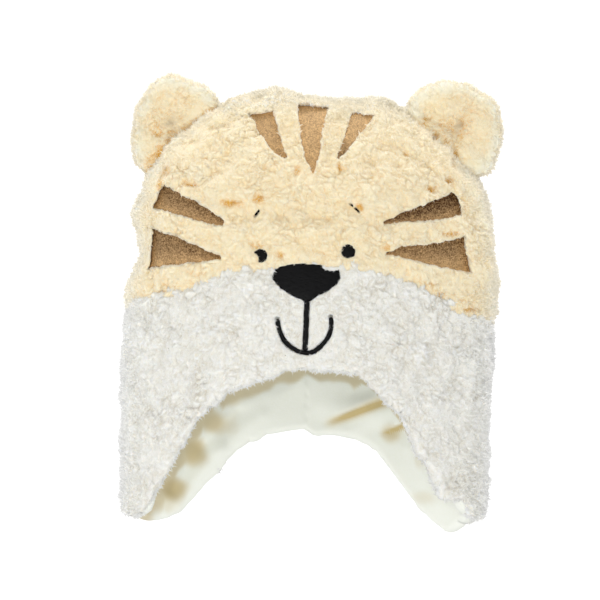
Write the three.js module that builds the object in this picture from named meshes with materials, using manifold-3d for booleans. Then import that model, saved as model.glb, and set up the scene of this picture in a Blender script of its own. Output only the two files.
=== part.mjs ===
// A child's fleece hat with a tiger's face: a square crown with two round ears, long ear
// flaps, a smooth lining and an embroidered face that lies sunk in the curly pile.
// Millimetres, +Z up. The face looks towards -Y, and +X is on the viewer's right.
// The origin is the inside top of the crown, where the top of a head touches it.

import * as THREE from 'three';
import { mergeVertices } from 'three/addons/utils/BufferGeometryUtils.js';
import Module from 'manifold-3d';

const wasm = await Module();
wasm.setup();

// Driving dimensions

const HALF_WIDTH = 109.4; // widest half-width of the outer form
const HALF_DEPTH = 57.5; // deepest half-depth, on a toddler's head
const ROUNDNESS = 2.5; // superellipse exponent of a level section
const PILE = 9; // sherpa with its knitted back
const LINING = 2.7; // smooth fleece
const GAP = 0.3; // clearance between neighbouring pieces
const CROWN_TOP = PILE + GAP + LINING; // height of the top seam over the origin
const SEGMENTS = 40; // round a level section
const REACH = 300; // past the object in every direction

const STITCH_DEPTH = 4.5; // from the pile's tips down to the face of the embroidery
const STITCH_THICK = 1.5;
const LINING_SET_BACK = 2; // the lining ends this far above the sherpa's edge
const LINING_SEAM_X = 2; // centre seam of the lining
const BACK_COLOUR_LINE = -116; // height where the back changes from cream to white

// Colours of the real cloth and thread

const CREAM = 0xf4e0bb;
const WHITE = 0xf2f1ee;
const LINING_YELLOW = 0xf2eed2;
const BROWN = 0x9c7d5a;
const BLACK = 0x1b1b1d;

// Level sections of the outer form, from the top seam down to below the flaps

const SECTIONS = [
  { below_top: 0, half_width: 44, half_depth: 3 },
  { below_top: 2, half_width: 51, half_depth: 11 },
  { below_top: 6, half_width: 57.5, half_depth: 18.5 },
  { below_top: 11, half_width: 64.5, half_depth: 25 },
  { below_top: 18, half_width: 74, half_depth: 31.5 },
  { below_top: 26, half_width: 83.5, half_depth: 37 },
  { below_top: 35, half_width: 91, half_depth: 41.5 },
  { below_top: 45, half_width: 97.5, half_depth: 46 },
  { below_top: 56, half_width: 102.5, half_depth: 49.5 },
  { below_top: 68, half_width: 106, half_depth: 52.5 },
  { below_top: 83, half_width: 107.6, half_depth: 55.1 },
  { below_top: 101, half_width: 108.7, half_depth: 56.8 },
  { below_top: 121, half_width: 109.1, half_depth: 57.3 },
  { below_top: 145, half_width: 109.4, half_depth: 57.5 },
  { below_top: 172, half_width: 109.3, half_depth: 57 },
  { below_top: 200, half_width: 109.1, half_depth: 55.2 },
  { below_top: 223, half_width: 108.8, half_depth: 52.6 },
  { below_top: 239, half_width: 108.2, half_depth: 50.4 },
  { below_top: 268, half_width: 106.5, half_depth: 47 },
];

// Soft swells and dents of the cloth: a Gaussian hill at x, z on the front or the back

const SWELL_START = 20; // the swells grow to their full height this far below the top seam
const SEAM_FADE = 4; // power by which they fade out towards the side seams
const SWELLS = [
  { side: 'front', x: -42, z: -38, height: 5, spread_x: 24, spread_z: 22 }, // forehead
  { side: 'front', x: 42, z: -40, height: 5, spread_x: 24, spread_z: 22 },
  { side: 'front', x: 0, z: -57, height: -4, spread_x: 52, spread_z: 8 }, // brow valley
  { side: 'front', x: -1, z: -110, height: 7, spread_x: 42, spread_z: 26 }, // muzzle
  { side: 'front', x: -2, z: -146, height: -3, spread_x: 34, spread_z: 9 }, // under the chin
  { side: 'front', x: -80, z: -170, height: 3, spread_x: 16, spread_z: 30 }, // cheeks
  { side: 'front', x: 82, z: -172, height: 3, spread_x: 16, spread_z: 30 },
  { side: 'back', x: 0, z: -70, height: 6, spread_x: 60, spread_z: 48 }, // back of the head
  { side: 'back', x: 34, z: -172, height: -4, spread_x: 20, spread_z: 8 }, // fold in the nape
  { side: 'back', x: -58, z: -196, height: -3, spread_x: 9, spread_z: 24 },
];

// Lower edges, as the distance from the face's centre line and the height on each side

const FRONT_EDGE = [
  { out: 0, left: -150.1, right: -150.1 },
  { out: 14, left: -152, right: -150.2 },
  { out: 20, left: -154.5, right: -150.5 },
  { out: 30, left: -158.3, right: -151.8 },
  { out: 38, left: -161.2, right: -158 },
  { out: 46, left: -165.6, right: -166 },
  { out: 53, left: -171.5, right: -172.5 },
  { out: 58, left: -177, right: -178 },
  { out: 64, left: -185.5, right: -188.5 },
  { out: 70, left: -196.8, right: -198.5 },
  { out: 76, left: -207, right: -206 },
  { out: 82, left: -218, right: -217.5 },
  { out: 87, left: -227.5, right: -223 },
  { out: 92, left: -235, right: -225 },
  { out: 97, left: -240.5, right: -227 },
  { out: 103, left: -242, right: -232 },
  { out: 107, left: -238, right: -237 },
  { out: 110, left: -230, right: -231 },
];

const BACK_EDGE = [
  { out: 0, left: -185.2, right: -185.2 },
  { out: 10, left: -186.8, right: -187.2 },
  { out: 22, left: -189.2, right: -188.2 },
  { out: 32, left: -192.5, right: -190 },
  { out: 40, left: -197.8, right: -193.4 },
  { out: 46, left: -205.5, right: -198 },
  { out: 50, left: -212, right: -203 },
  { out: 58, left: -221.5, right: -213.5 },
  { out: 66, left: -231, right: -223.8 },
  { out: 73, left: -238.2, right: -233 },
  { out: 80, left: -241.5, right: -238 },
  { out: 88, left: -243, right: -241.8 },
  { out: 96, left: -242.8, right: -243.3 },
  { out: 103, left: -241.8, right: -241.8 },
  { out: 107, left: -237, right: -238 },
  { out: 110, left: -229, right: -232 },
];

// The line on the front where the cream sherpa ends and the white muzzle begins

const MUZZLE_LINE = [
  { out: 0, left: -87.6, right: -87.6 },
  { out: 21, left: -90.5, right: -87.6 },
  { out: 36, left: -90.6, right: -89.3 },
  { out: 53, left: -94.8, right: -92 },
  { out: 65, left: -100, right: -96.6 },
  { out: 79, left: -105.4, right: -103.4 },
  { out: 90, left: -108.8, right: -111 },
  { out: 101, left: -112, right: -115.5 },
  { out: 110, left: -115, right: -117 },
];

// Stripes of brown stitches, each a tapered patch whose corners are [x, z]

const STRIPES = [
  {
    name: 'forehead_stripe_left',
    points: [
      [-40.2, 0.8], [-25.2, 3.2], [-21.2, -8.6], [-15.8, -24],
      [-16.9, -25.3], [-23.1, -22.5], [-31.3, -12],
    ],
  },
  {
    name: 'forehead_stripe_centre',
    points: [
      [-11, 6.8], [7.6, 6.9], [4.7, -9.4], [2.8, -24.5],
      [0.2, -34.2], [-5, -24.8], [-7.8, -12.9],
    ],
  },
  {
    name: 'forehead_stripe_right',
    points: [
      [22.1, 5], [36, 2.6], [26.3, -9.8], [20, -19.1],
      [14.8, -24.1], [13.6, -22.9], [17.4, -12],
    ],
  },
  {
    name: 'cheek_stripe_upper_left',
    points: [
      [-89.3, -42.5], [-94.6, -57.2], [-77, -61.6], [-61, -65.8],
      [-51.4, -67.4], [-50.3, -63.6], [-68, -53],
    ],
  },
  {
    name: 'cheek_stripe_lower_left',
    points: [
      [-96.3, -69.8], [-99.6, -93.3], [-77.5, -90.7], [-52.4, -86.7],
      [-52.5, -84.9], [-65.9, -79.4], [-81.1, -73.4],
    ],
  },
  {
    name: 'cheek_stripe_upper_right',
    points: [
      [85.7, -40], [89.6, -48.8], [89.9, -54.8], [77.4, -57.7],
      [56.5, -60.3], [42.7, -62], [42.6, -60.2], [65.1, -49.8],
    ],
  },
  {
    name: 'cheek_stripe_lower_right',
    points: [
      [91, -67.4], [94.8, -88.8], [78.5, -86.5], [57.3, -81.9],
      [44.6, -80], [44.9, -78.5], [54, -74.8], [71.9, -72.3],
    ],
  },
];

// Black stitches: the nose is an outline, the eyes are spots, and the rest are strokes

const NOSE = [
  [-20.6, -89.6], [-12.7, -88], [7.7, -87.2], [17.6, -90], [18.4, -94.5],
  [13, -101.6], [3.6, -108], [-1.1, -109.4], [-6.4, -107.6], [-18.9, -99.2], [-21.8, -94.5],
];
const EYE_RADIUS = 4;
const BROW_WIDTH = 2.4;
const LIP_WIDTH = 3.2; // upright of the mouth
const SMILE_WIDTH = 2.7;
const EYES = [
  { name: 'eye_left', x: -29.1, z: -83.4 },
  { name: 'eye_right', x: 22.9, z: -79 },
];
const BROWS = [
  { name: 'brow_left', from: [-33.4, -60], to: [-29.4, -54.8] },
  { name: 'brow_right', from: [23, -51.2], to: [28.2, -55.6] },
];
const LIP = { from: [-0.8, -111.6], to: [-0.4, -139.2] };
const SMILE = [
  [-17, -120.5], [-15.4, -128.5], [-11.5, -135], [-5.4, -138.9], [-0.4, -139.8],
  [5.4, -138.5], [10.6, -133], [13.8, -125.6], [14.2, -119],
];

// Ears: one turned profile, a little hollow in front, set on the crown's corner seams

const EARS = [
  { name: 'ear_left', x: -82.5, z: -7.5, lean_deg: -46 },
  { name: 'ear_right', x: 85, z: -3.5, lean_deg: 42 },
];
const EAR_STRETCH = 1.16; // an ear is longer along its seam than across it
const EAR_PROFILE = [
  { radius: 0, front: 6.2, back: 8.4 },
  { radius: 9, front: 6.6, back: 8.4 },
  { radius: 15.5, front: 7.8, back: 8 },
  { radius: 20.5, front: 7.9, back: 7.2 },
  { radius: 24, front: 5.6, back: 5.2 },
  { radius: 25.4, front: 1.6, back: 1.6 },
];
const EAR_SIDES = 24;

// Solids and meshes

// A closed geometry as a solid that can be cut and joined.
function solidOf(geometry) {
  geometry.deleteAttribute('normal');
  geometry.deleteAttribute('uv');
  const merged = mergeVertices(geometry);
  return new wasm.Manifold(new wasm.Mesh({
    numProp: 3,
    vertProperties: merged.attributes.position.array,
    triVerts: new Uint32Array(merged.index.array),
  }));
}

// A finished solid as a named mesh with a cloth material.
function clothMesh(name, solid, colour) {
  const { vertProperties, triVerts } = solid.getMesh();
  const geometry = new THREE.BufferGeometry();
  geometry.setAttribute('position', new THREE.BufferAttribute(vertProperties, 3));
  geometry.setIndex(new THREE.BufferAttribute(triVerts, 1));
  geometry.computeVertexNormals();
  const material = new THREE.MeshStandardMaterial({ color: colour, roughness: 0.95, metalness: 0 });
  const mesh = new THREE.Mesh(geometry, material);
  mesh.name = name;
  return mesh;
}

// A box between two corners.
function block(low, high) {
  const size = high.map((value, axis) => value - low[axis]);
  const geometry = new THREE.BoxGeometry(...size);
  geometry.translate(...low.map((value, axis) => value + size[axis] / 2));
  return solidOf(geometry);
}

// An outline of [x, z] points carried along Y from the middle plane to the front or back.
function prism(outline, side) {
  const shape = new THREE.Shape(outline.map(([x, z]) => new THREE.Vector2(x, z)));
  const geometry = new THREE.ExtrudeGeometry(shape, { depth: REACH, bevelEnabled: false });
  geometry.rotateX(Math.PI / 2);
  if (side === 'back') {
    geometry.translate(0, REACH, 0);
  }
  return solidOf(geometry);
}

// The outer form

// Height that the swells add at x, z on one side, faded out towards the side seams.
function swellAt(side, x, z) {
  const fade = Math.max(0, 1 - (Math.abs(x) / HALF_WIDTH) ** SEAM_FADE);
  let height = 0;
  for (const swell of SWELLS) {
    if (swell.side === side) {
      const across = (x - swell.x) / swell.spread_x;
      const up = (z - swell.z) / swell.spread_z;
      height += swell.height * Math.exp(-across * across - up * up);
    }
  }
  return fade * height;
}

// The closed form that lies `inset` inside the pile's tips: the sections are scaled
// towards the axis and lowered by the inset, and each is a superellipse.
function skin(inset) {
  const narrower = (HALF_WIDTH - inset) / HALF_WIDTH;
  const shallower = (HALF_DEPTH - inset) / HALF_DEPTH;
  const power = 2 / ROUNDNESS;
  const positions = [];
  for (const section of SECTIONS) {
    const z = CROWN_TOP - inset - section.below_top;
    const swell = Math.min(1, section.below_top / SWELL_START);
    for (let step = 0; step < SEGMENTS; step += 1) {
      const angle = (2 * Math.PI * (step + 0.5)) / SEGMENTS;
      const cos = Math.cos(angle);
      const sin = Math.sin(angle);
      const x = narrower * section.half_width * Math.sign(cos) * Math.abs(cos) ** power;
      const y = shallower * section.half_depth * Math.sign(sin) * Math.abs(sin) ** power;
      const side = sin < 0 ? 'front' : 'back';
      positions.push(x, y + Math.sign(sin) * swell * swellAt(side, x, z), z);
    }
  }
  const last = SECTIONS.length - 1;
  const topCentre = SECTIONS.length * SEGMENTS;
  const bottomCentre = topCentre + 1;
  positions.push(0, 0, CROWN_TOP - inset);
  positions.push(0, 0, CROWN_TOP - inset - SECTIONS[last].below_top);
  const index = [];
  for (let step = 0; step < SEGMENTS; step += 1) {
    const next = (step + 1) % SEGMENTS;
    for (let row = 0; row < last; row += 1) {
      const here = row * SEGMENTS;
      const below = here + SEGMENTS;
      index.push(here + step, below + step, below + next);
      index.push(here + step, below + next, here + next);
    }
    index.push(topCentre, step, next);
    index.push(bottomCentre, last * SEGMENTS + next, last * SEGMENTS + step);
  }
  const geometry = new THREE.BufferGeometry();
  geometry.setAttribute('position', new THREE.BufferAttribute(new Float32Array(positions), 3));
  geometry.setIndex(index);
  return solidOf(geometry);
}

// The wall between two insets.
function wall(outerInset, innerInset) {
  return skin(outerInset).subtract(skin(innerInset));
}

// All that lies above a line that is given by its height at each distance from the centre.
function above(line, side) {
  const leftHalf = line.map(({ out, left }) => [-out, left]).reverse();
  const rightHalf = line.slice(1).map(({ out, right }) => [out, right]);
  const edge = [...leftHalf, ...rightHalf];
  const first = [-REACH, edge[0][1]];
  const final = [REACH, edge[edge.length - 1][1]];
  return prism([first, ...edge, final, [REACH, REACH], [-REACH, REACH]], side);
}

// Outlines of the embroidery

const MITRE_LIMIT = 0.5; // keeps the grown corner of a sharp point short
const SPOT_SIDES = 12;

// A closed outline moved outwards by a margin, each corner along its bisector.
function grown(outline, margin) {
  const area = THREE.ShapeUtils.area(outline.map(([x, z]) => new THREE.Vector2(x, z)));
  const turn = Math.sign(area);
  const normals = outline.map(([x, z], at) => {
    const [nextX, nextZ] = outline[(at + 1) % outline.length];
    const length = Math.hypot(nextX - x, nextZ - z);
    return [(turn * (nextZ - z)) / length, (-turn * (nextX - x)) / length];
  });
  return outline.map(([x, z], at) => {
    const [ax, az] = normals[(at + outline.length - 1) % outline.length];
    const [bx, bz] = normals[at];
    const spread = Math.max(MITRE_LIMIT, 1 + ax * bx + az * bz);
    return [x + (margin * (ax + bx)) / spread, z + (margin * (az + bz)) / spread];
  });
}

// A round spot.
function disc(x, z, radius) {
  return Array.from({ length: SPOT_SIDES }, (_, at) => {
    const angle = (2 * Math.PI * at) / SPOT_SIDES;
    return [x + radius * Math.cos(angle), z + radius * Math.sin(angle)];
  });
}

// A line of stitches of one width along a run of points, with blunt ends.
function stroke(points, width) {
  const sides = [1, -1].map((side) => points.map(([x, z], at) => {
    const [beforeX, beforeZ] = points[Math.max(0, at - 1)];
    const [afterX, afterZ] = points[Math.min(points.length - 1, at + 1)];
    const length = Math.hypot(afterX - beforeX, afterZ - beforeZ);
    const reach = (side * width) / 2 / length;
    return [x - reach * (afterZ - beforeZ), z + reach * (afterX - beforeX)];
  }));
  return [...sides[0], ...sides[1].reverse()];
}

// Every embroidered piece, as the outlines that it is joined from.
const EMBROIDERY = [
  ...STRIPES.map(({ name, points }) => ({ name, colour: BROWN, outlines: [points] })),
  ...EYES.map(({ name, x, z }) => ({ name, colour: BLACK, outlines: [disc(x, z, EYE_RADIUS)] })),
  ...BROWS.map(({ name, from, to }) => ({
    name, colour: BLACK, outlines: [stroke([from, to], BROW_WIDTH)],
  })),
  { name: 'nose', colour: BLACK, outlines: [NOSE] },
  {
    name: 'mouth',
    colour: BLACK,
    outlines: [stroke([LIP.from, LIP.to], LIP_WIDTH), stroke(SMILE, SMILE_WIDTH)],
  },
];

// The joined prism of an embroidered piece, with its outlines grown by a margin.
function stitchedPrism({ outlines }, margin) {
  const prisms = outlines.map((outline) => prism(grown(outline, margin), 'front'));
  return wasm.Manifold.union(prisms);
}

// Outer panels

const sherpa = wall(0, PILE);
const front = above(FRONT_EDGE, 'front').translate(0, -GAP / 2, 0);
const back = above(BACK_EDGE, 'back').translate(0, GAP / 2, 0);
const frontShell = sherpa.intersect(front);
const backShell = sherpa.intersect(back);

const stitchBed = skin(STITCH_DEPTH + STITCH_THICK + GAP);
const recesses = wasm.Manifold.union(
  EMBROIDERY.map((piece) => stitchedPrism(piece, GAP).subtract(stitchBed)),
);
const cream = above(MUZZLE_LINE, 'front');
const facePanel = frontShell.intersect(cream.translate(0, 0, GAP / 2)).subtract(recesses);
const muzzlePanel = frontShell.subtract(cream.translate(0, 0, -GAP / 2)).subtract(recesses);

const backCream = block([-REACH, 0, BACK_COLOUR_LINE], [REACH, REACH, REACH]);
const backCrown = backShell.intersect(backCream.translate(0, 0, GAP / 2));
const backLower = backShell.subtract(backCream.translate(0, 0, -GAP / 2));

// Lining, in two halves that meet at a seam down the centre

const liningRegion = above(FRONT_EDGE, 'front').add(above(BACK_EDGE, 'back').translate(0, -GAP, 0));
const liningShell = wall(PILE + GAP, CROWN_TOP).intersect(liningRegion.translate(0, 0, LINING_SET_BACK));
const rightSide = block([LINING_SEAM_X, -REACH, -REACH], [REACH, REACH, REACH]);
const liningRight = liningShell.intersect(rightSide.translate(GAP / 2, 0, 0));
const liningLeft = liningShell.subtract(rightSide.translate(-GAP / 2, 0, 0));

// Ears, turned about Y and cut to sit on the crown

function earSolid({ x, z, lean_deg: lean }) {
  const front = EAR_PROFILE.map(({ radius, front: depth }) => new THREE.Vector2(radius, -depth));
  const rear = EAR_PROFILE.map(({ radius, back: depth }) => new THREE.Vector2(radius, depth)).reverse();
  const geometry = new THREE.LatheGeometry([...front, ...rear], EAR_SIDES);
  geometry.scale(EAR_STRETCH, 1, 1);
  geometry.rotateY(THREE.MathUtils.degToRad(lean));
  geometry.translate(x, 0, z);
  return solidOf(geometry).subtract(skin(-GAP));
}

// The hat

const hat = new THREE.Group();
hat.add(clothMesh('face_panel', facePanel, CREAM));
hat.add(clothMesh('muzzle_panel', muzzlePanel, WHITE));
hat.add(clothMesh('back_crown_panel', backCrown, CREAM));
hat.add(clothMesh('back_lower_panel', backLower, WHITE));
hat.add(clothMesh('lining_left', liningLeft, LINING_YELLOW));
hat.add(clothMesh('lining_right', liningRight, LINING_YELLOW));
for (const ear of EARS) {
  hat.add(clothMesh(ear.name, earSolid(ear), CREAM));
}
const stitchLayer = wall(STITCH_DEPTH, STITCH_DEPTH + STITCH_THICK);
for (const piece of EMBROIDERY) {
  hat.add(clothMesh(piece.name, stitchLayer.intersect(stitchedPrism(piece, 0)), piece.colour));
}

export default hat;
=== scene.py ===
"""A child's fleece hat with a tiger's face: curly sherpa panels, round ears, sunk embroidery
and a smooth lining. Shapes are worked out in millimetres and stored in metres, in the
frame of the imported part: +Z up, the face looks towards -Y, and the origin is the inside
top of the crown."""

import math

import bpy
import numpy as np
from mathutils import Matrix, Vector


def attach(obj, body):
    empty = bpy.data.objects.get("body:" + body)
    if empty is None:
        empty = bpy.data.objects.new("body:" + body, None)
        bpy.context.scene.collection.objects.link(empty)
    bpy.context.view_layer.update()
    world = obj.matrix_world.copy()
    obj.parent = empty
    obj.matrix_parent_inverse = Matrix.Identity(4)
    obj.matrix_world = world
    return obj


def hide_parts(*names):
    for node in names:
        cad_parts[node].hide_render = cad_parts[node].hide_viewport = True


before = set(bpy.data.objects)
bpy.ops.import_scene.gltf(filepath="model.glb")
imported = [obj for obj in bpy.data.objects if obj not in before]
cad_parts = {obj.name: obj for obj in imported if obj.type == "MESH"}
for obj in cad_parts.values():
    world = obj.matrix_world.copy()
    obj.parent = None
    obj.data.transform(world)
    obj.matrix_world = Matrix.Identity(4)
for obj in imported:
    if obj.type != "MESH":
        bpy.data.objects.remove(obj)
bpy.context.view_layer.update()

MM = 0.001

# Driving dimensions, in millimetres

HALF_WIDTH = 109.4
HALF_DEPTH = 57.5
ROUNDNESS = 2.5  # superellipse exponent of a level section
PILE = 9.0  # sherpa with its knitted back
LINING = 2.7
GAP = 0.3
CROWN_TOP = PILE + GAP + LINING  # height of the top seam over the origin
LINING_SEAM_X = 2.0
BACK_COLOUR_LINE = -116.0

# Level sections from the top seam down: distance below it, half-width, half-depth
SECTIONS = np.array([
    (0, 44, 0), (2, 51, 11), (6, 57.5, 18.5), (11, 64.5, 25), (18, 74, 31.5),
    (26, 83.5, 37), (35, 91, 41.5), (45, 97.5, 46), (56, 102.5, 49.5), (68, 106, 52.5),
    (83, 107.6, 55.1), (101, 108.7, 56.8), (121, 109.1, 57.3), (145, 109.4, 57.5),
    (172, 109.3, 57), (200, 109.1, 55.2), (223, 108.8, 52.6), (239, 108.2, 50.4),
    (268, 106.5, 47),
])

# Swells of the cloth: side (-1 front, 1 back), x, z, height, spread in x, spread in z
SWELLS = (
    (-1, -42, -38, 5, 24, 22), (-1, 42, -40, 5, 24, 22), (-1, 0, -57, -4, 52, 8),
    (-1, -1, -110, 7, 42, 26), (-1, -2, -146, -3, 34, 9), (-1, -80, -170, 3, 16, 30),
    (-1, 82, -172, 3, 16, 30), (1, 0, -70, 6, 60, 48), (1, 34, -172, -4, 20, 8),
    (1, -58, -196, -3, 9, 24),
)
SWELL_START = 20.0  # the swells grow to their full height this far below the top seam
SEAM_FADE = 4  # power by which they fade out towards the side seams

# Lower edges and the muzzle line: distance from the centre, height on the left, on the right
FRONT_EDGE = np.array([
    (0, -150.1, -150.1), (14, -152, -150.2), (20, -154.5, -150.5), (30, -158.3, -151.8),
    (38, -161.2, -158), (46, -165.6, -166), (53, -171.5, -172.5), (58, -177, -178),
    (64, -185.5, -188.5), (70, -196.8, -198.5), (76, -207, -206), (82, -218, -217.5),
    (87, -227.5, -223), (92, -235, -225), (97, -242, -227), (103, -244, -234.5),
    (107, -240, -237), (110, -231, -231.5),
])
BACK_EDGE = np.array([
    (0, -185.2, -185.2), (8, -186.4, -189), (14, -187.6, -188), (22, -189.2, -188.2),
    (28, -193.4, -189.2), (32, -194, -190), (40, -200.4, -193.4), (46, -208, -198),
    (50, -214.4, -203), (58, -221.5, -213.5),
    (66, -231, -223.5), (73, -238.2, -231.5), (80, -241.5, -235.5), (88, -243, -238.8),
    (96, -243.4, -241.8), (103, -243.4, -241.5), (107, -239, -238), (110, -231, -231.5),
])
MUZZLE_LINE = np.array([
    (0, -87.6, -87.6), (21, -90.5, -87.6), (36, -90.6, -89.3), (53, -94.8, -92),
    (65, -100, -96.6), (79, -105.4, -103.4), (90, -108.8, -111), (101, -112, -115.5),
    (110, -115, -117),
])

# Embroidery: corners of each brown patch, from its wide end to its point
STRIPES = {
    "forehead_stripe_left": (
        (-40.2, 0.8), (-33, 0.9), (-25.2, 3.2), (-21.2, -8.6), (-15.8, -24), (-16.9, -25.3),
        (-23.1, -22.5), (-31.3, -12)),
    "forehead_stripe_centre": (
        (-11, 6.8), (7.6, 6.9), (4.7, -9.4), (2.8, -24.5), (0.2, -34.2), (-5, -24.8),
        (-7.8, -12.9)),
    "forehead_stripe_right": (
        (22.1, 5), (36, 2.6), (26.3, -9.8), (20, -19.1), (14.8, -24.1), (13.6, -22.9),
        (17.4, -12)),
    "cheek_stripe_upper_left": (
        (-89.3, -42.5), (-94.6, -57.2), (-77, -61.6), (-61, -65.8), (-51.4, -67.4),
        (-50.3, -63.6), (-68, -53)),
    "cheek_stripe_lower_left": (
        (-96.3, -69.8), (-99.6, -93.3), (-77.5, -90.7), (-52.4, -86.7), (-52.5, -84.9),
        (-65.9, -79.4), (-81.1, -73.4)),
    "cheek_stripe_upper_right": (
        (85.7, -40), (89.6, -48.8), (89.9, -54.8), (77.4, -57.7), (56.5, -60.3), (42.7, -62),
        (42.6, -60.2), (65.1, -49.8)),
    "cheek_stripe_lower_right": (
        (91, -67.4), (94.8, -88.8), (78.5, -86.5), (57.3, -81.9), (44.6, -80), (44.9, -78.5),
        (54, -74.8), (71.9, -72.3)),
}
NOSE = (
    (-20.4, -91.6), (-17.2, -89.6), (-12.6, -88.4), (-6.6, -87.5), (7.9, -87.3), (17.5, -90),
    (18.6, -94.5), (16.9, -98), (12.2, -101.9), (6.3, -105.4), (1.2, -108.9), (-2.2, -109.4),
    (-7.6, -107.1), (-13.8, -103.8), (-18.9, -100.2), (-21.6, -96.2),
)
EYES = {"eye_left": (-29.1, -83.4), "eye_right": (22.9, -79)}
EYE_RADIUS = 4.0
BROWS = {
    "brow_left": ((-33.4, -60), (-29.4, -54.8)),
    "brow_right": ((23, -51.2), (28.2, -55.6)),
}
BROW_WIDTH = 1.4
LIP = ((-0.8, -108.8), (-0.4, -139.2))
LIP_WIDTH = 3.5
SMILE = (
    (-17.5, -120.4), (-17.1, -124.2), (-15.9, -128.2), (-13.6, -132.6), (-9.4, -137),
    (-3.4, -139.9), (0.8, -140.2), (5, -139), (8.8, -135.8), (11.4, -132.6), (13.2, -129),
    (14.2, -125.6), (14.4, -122), (13.6, -118),
)
SMILE_WIDTH = 2.8

# Ears: centre x, centre z, lean in degrees, depth of the crease at the crown
EARS = {"ear_left": (-85.5, -6.3, -46, 0.85), "ear_right": (85.4, -1.5, 42, 0.3)}
# Their rims: direction from an ear's centre in degrees, distance on the left, on the right
EAR_RIMS = np.array([
    (0, 29, 26.7), (20, 31, 27), (40, 30.8, 27.6), (60, 29, 25.6), (80, 29.8, 26.8),
    (100, 30.8, 27), (120, 27.8, 28.6), (140, 23, 33), (160, 22.2, 33.6), (180, 22, 30),
    (200, 25, 28), (220, 28, 26), (240, 33, 26), (260, 32, 28), (280, 28, 30), (300, 26, 33.6),
    (320, 26, 29), (340, 28, 27),
])
EAR_FRONT = 7.4  # from the middle plane to the front of the cloth
EAR_BACK = 7.9
EAR_EDGE = 6  # power by which an ear rounds off to its rim
EAR_HOLLOW = 1.4  # of the dish in its front
EAR_HOLLOW_SHARE = 11 / 25.4  # spread of that dish, as a share of the way to the rim
EAR_SEAT = 4.0  # how deep the ears reach into the crown's wall
ROOT_FORWARD = 4.5  # how far an ear without a crease swells forward at the seam
EAR_ROWS = 104
EAR_COLUMNS = 210

# Deep dents of the cream pile: x, z, depth, spread in x, spread in z
DENTS = (
    (-48.3, -52.9, 3.4, 6.5, 2.2), (-31.6, -49.9, 3.2, 4, 3), (-72.8, -41.8, 2.4, 4.5, 2),
    (-89.9, -33.5, 2.8, 3, 4), (-92, -41.4, 2.6, 2.4, 5), (-9.5, -31.6, 2.0, 2.4, 3.5),
    (-17.2, -82.3, 1.8, 2.6, 2.4), (-31.8, -77.5, 2.0, 5, 2), (-63.7, -26.5, 1.4, 4, 2),
    (15.6, -28.2, 2.4, 2.2, 1.8), (87.7, 1.0, 2.4, 2.4, 3.4), (72.5, -8.0, 2.6, 3, 1.8),
    (67.2, 3.2, 2.0, 4, 1.8), (82.4, -33.5, 3.0, 3.6, 2), (70.1, -39.4, 2.8, 4.5, 2),
    (55.4, -18.3, 1.8, 2, 2.2), (85.5, -20.1, 2.6, 2, 6), (28.6, -53.0, 3.4, 3.2, 2.6),
    (84.9, -65.2, 2.2, 7, 1.6), (45.0, -75.7, 2.2, 3, 2.6), (79.1, -103.3, 2.0, 4.5, 2.2),
    (96.2, -110.4, 2.2, 5, 2), (-94.3, -12.6, 1.8, 4, 2.4), (-85.4, -10.5, 1.6, 4, 2),
    (-80.9, -2.5, 1.4, 3, 2),
)

# Calm places, where the pile is short or pressed flat: x, z, spread in x, spread in z, calm
CALM = (
    (-1, -122, 30, 20, 0.75), (0, -80, 34, 8, 0.45), (-14, -8, 5, 16, 0.5),
    (14, -6, 5, 16, 0.5), (-70, -66, 26, 5, 0.5), (66, -64, 22, 5, 0.4), (0, -146, 34, 6, 0.3),
    (-78, -212, 14, 26, 0.35),
)

# How far the sides stand out beyond the plain form: height, outward shift
LEFT_WIDENING = np.array([
    (-245, 2.5), (-233, 1.5), (-225, 0), (-170, 0.2), (-140, 0), (-103, 0), (-96, -4.2),
    (-89, -6.6), (-82, -6), (-74, -4.8), (-67, -1.7), (-60, 1.4), (-52, -2), (-45, -3),
    (-38, -0.5), (-31, 2), (-10, 0), (30, 0),
])
RIGHT_WIDENING = np.array([
    (-245, 5.5), (-220, 5), (-205, 4), (-190, 3.2), (-170, 2.5), (-150, 2.5), (-118, 3),
    (-100, 4), (-80, 4), (-66, 2.5), (-55, 1.5), (-45, 2.5), (-37, 3.5), (-30, 4),
    (-23, 2.5), (-15, 1.5), (0, 1), (30, 1),
])
WIDENING_START = 86.0  # distance from the middle, and over what width it grows
WIDENING_WIDTH = 22.0

# Tufts that lie over the black stitches: x, z, spread in x, spread in z
COVERS = (
    (-33.2, -85.4, 3.2, 3.6), (12.8, -88.4, 5.5, 2.6), (-29.6, -55.4, 1.8, 1.7),
    (25.4, -52.2, 0.9, 1.3),
)
COVER_HEIGHT = 1.3

# How far the crown's upper edge stands above its seam: x, rise
TOP_RISE = np.array([
    (-70, 0), (-60, -2), (-54, -1.5), (-45, 0), (-35, 1.5), (-26, 4), (-21, 4.8), (-11, 3.6),
    (-1.6, 0.5), (3, 0), (18, 1.5), (32, 2.5), (38, 1.5), (43, -1.5), (48, -2), (54, 1),
    (60, 6), (68, 6), (74, 0),
])
TOP_REACH = 7.0  # how far below the seam that rise dies away

# Layers of the pile: size of each, and how high it stands
PUFF = 3.7
PUFF_HEIGHT = 2.4
CREVICE_DEPTH = 1.1  # of the cracks between some of the puffs
CURL = 1.9  # small curls on the puffs
CURL_HEIGHT = 0.9
FRIZZ = 1.35
FRIZZ_HEIGHT = 0.4
CLUMP = 8.5
CLUMP_HEIGHT = 2.3
LUMP = 26
LUMP_HEIGHT = 1.4
MEAN_HILL = 0.7  # what a heap of puffs or curls measures on average, in their sizes
BEND_DROP = 1.4  # the pile lies lower where the form bends away, under longer loose fibres
PALEST = 0.9  # painted light: how far the pile is painted paler along the top seam
# Painted light: how far the pile is painted paler where it bends away to the outline
RIM_PALE = 0.75

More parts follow.
